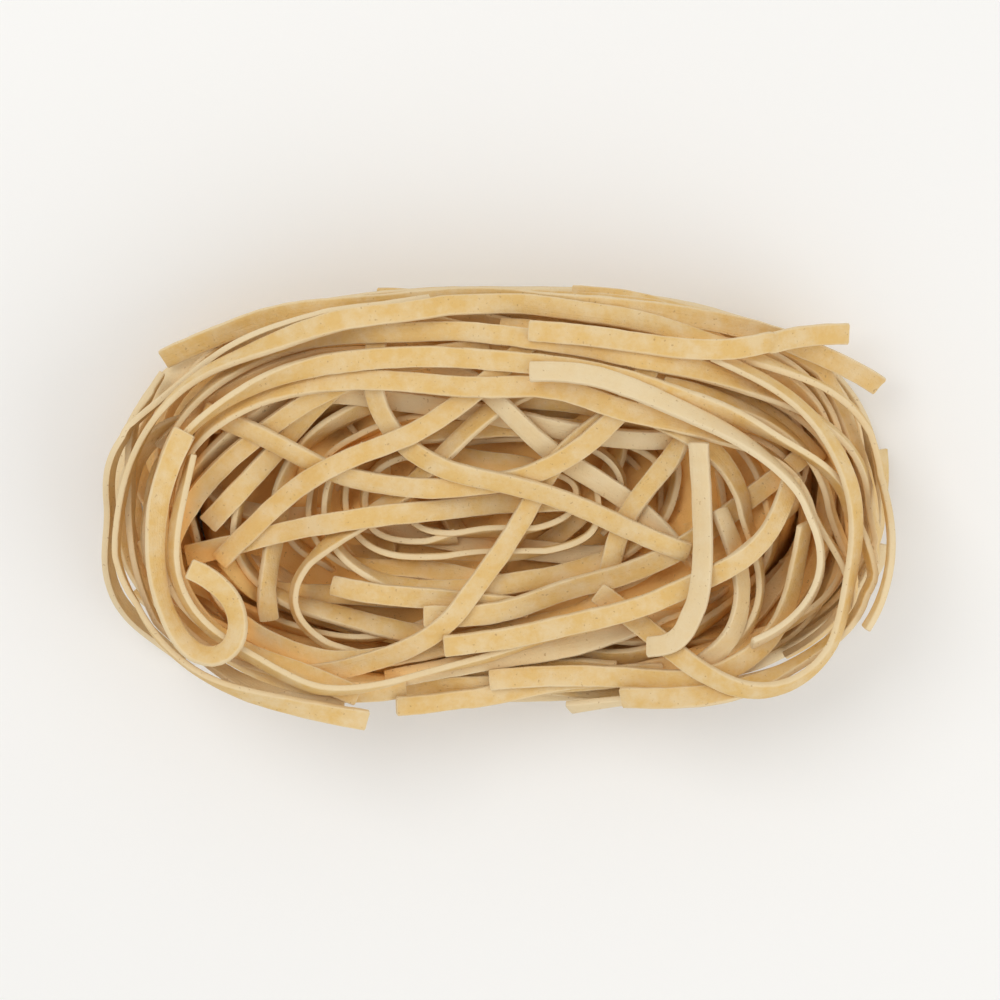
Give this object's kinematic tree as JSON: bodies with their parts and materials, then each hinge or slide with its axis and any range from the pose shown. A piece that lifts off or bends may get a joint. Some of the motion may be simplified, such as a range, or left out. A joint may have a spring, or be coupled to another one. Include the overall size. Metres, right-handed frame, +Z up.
{
  "type": "dry pasta nest",
  "caption": "Oval nest of dry flat pasta ribbons, wound round a raised rim with loose cut ends, crossing over a dished middle, on a flat foot.",
  "frame": {"origin": "middle of the flat foot, on the surface that the nest rests on", "axes": "+X along the long side of the oval, towards its right-hand end in the picture; +Y across it, towards the top of the picture; +Z up"},
  "size_m": [0.147, 0.0799, 0.0403],
  "materials": {
    "pasta": "matt and slightly floury, pale straw with paler cut edges"
  },
  "bodies": {
    "root": {"pasta_nest": "pasta"}
  },
  "joints": []
}
